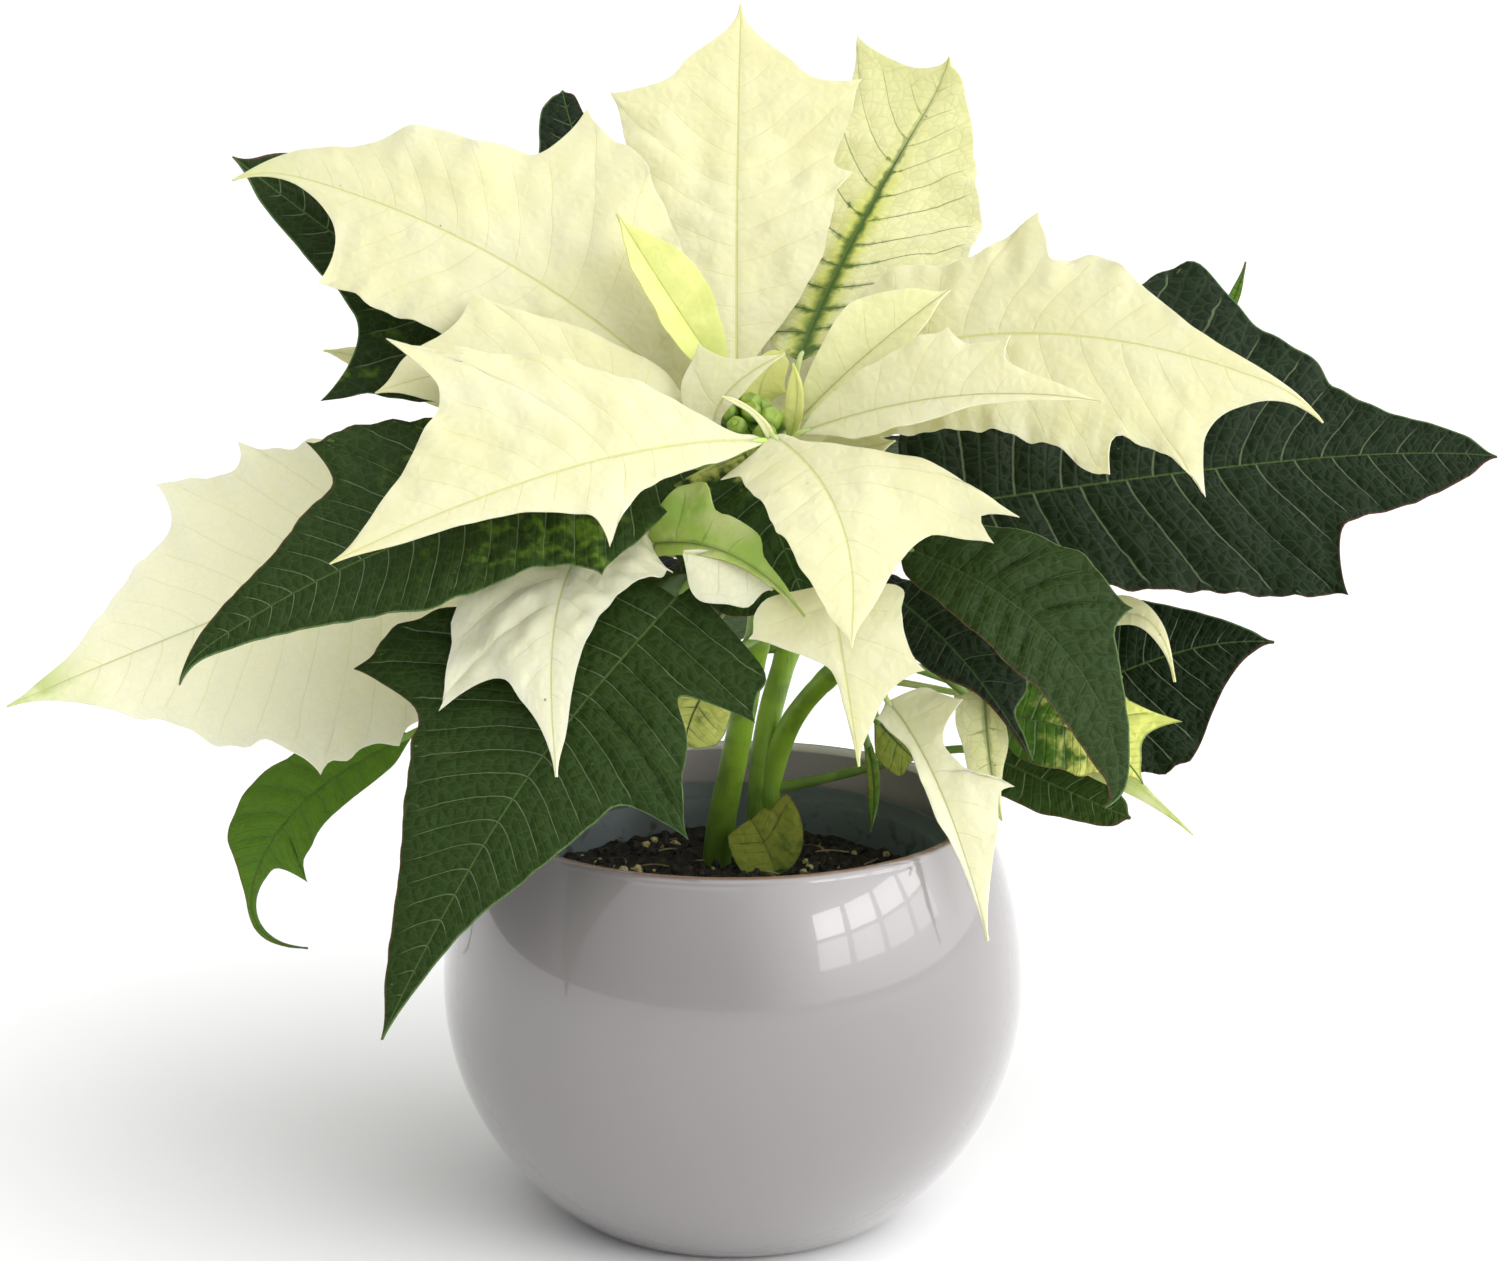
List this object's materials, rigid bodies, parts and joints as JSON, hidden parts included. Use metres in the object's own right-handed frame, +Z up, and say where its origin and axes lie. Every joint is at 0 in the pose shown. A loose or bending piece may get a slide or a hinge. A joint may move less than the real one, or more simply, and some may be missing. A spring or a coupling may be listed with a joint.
{
  "type": "poinsettia in a pot",
  "caption": "Cream poinsettia with pointed bracts over dark green leaves, growing from a round glazed cover pot with its plastic growing pot and soil.",
  "frame": {"origin": "centre of the cover pot's flat foot, on the surface it stands on", "axes": "+Z up the plant, +X to the viewer's right along its widest spread, -Y towards the viewer"},
  "size_m": [0.382, 0.2626, 0.3062],
  "materials": {
    "glaze": "warm light grey gloss glaze",
    "liner": "thin dark blue-grey moulded plastic",
    "soil": "moist peat with pale crumbs",
    "stem": "smooth green bark",
    "bud": "waxy green buds",
    "cream_bract": "soft satin leaf skin",
    "young_bract": "soft satin leaf skin",
    "veined_bract": "cream with green veins",
    "green_bract": "pale green underside",
    "dark_leaf": "quilted dark green, satin",
    "mottled_leaf": "green marbled with yellow",
    "fresh_leaf": "fresh green, satin"
  },
  "bodies": {
    "root": {"cover_pot": "glaze", "growing_pot": "liner", "potting_soil": "soil", "stem_front": "stem", "stem_back": "stem", "flower_head": "bud", "bract_back_left": "cream_bract", "bract_back_mid": "cream_bract", "bract_back_right": "cream_bract", "bract_curled": "cream_bract", "bract_far_left": "cream_bract", "bract_front": "cream_bract", "bract_front_left": "cream_bract", "bract_front_strip": "cream_bract", "bract_hanging": "cream_bract", "bract_inner_back": "young_bract", "bract_inner_front": "cream_bract", "bract_inner_left": "young_bract", "bract_inner_low": "cream_bract", "bract_inner_right": "young_bract", "bract_low_front": "cream_bract", "bract_low_left": "cream_bract", "bract_mid_left": "cream_bract", "bract_mid_right": "cream_bract", "bract_right": "cream_bract", "bract_sliver": "young_bract", "bract_strip": "cream_bract", "bract_striped": "veined_bract", "bract_top": "cream_bract", "bract_twisted": "green_bract", "bract_upper_left": "cream_bract", "bract_variegated": "veined_bract", "leaf_back_left": "dark_leaf", "leaf_back_low_left": "dark_leaf", "leaf_back_low_mid": "dark_leaf", "leaf_back_low_right": "dark_leaf", "leaf_back_mid": "dark_leaf", "leaf_back_right": "dark_leaf", "leaf_dark_right": "dark_leaf", "leaf_dark_tip": "dark_leaf", "leaf_far_right": "dark_leaf", "leaf_front_right": "dark_leaf", "leaf_left": "dark_leaf", "leaf_low_front": "dark_leaf", "leaf_low_left": "fresh_leaf", "leaf_low_right": "dark_leaf", "leaf_mottled": "mottled_leaf", "leaf_on_soil": "fresh_leaf", "leaf_pale_low": "fresh_leaf", "leaf_pale_tip": "cream_bract", "leaf_patch": "mottled_leaf", "leaf_right": "dark_leaf", "leaf_spike": "dark_leaf", "leaf_thin": "fresh_leaf", "leaf_upper_left": "dark_leaf", "leaf_yellow_right": "mottled_leaf"}
  },
  "joints": []
}
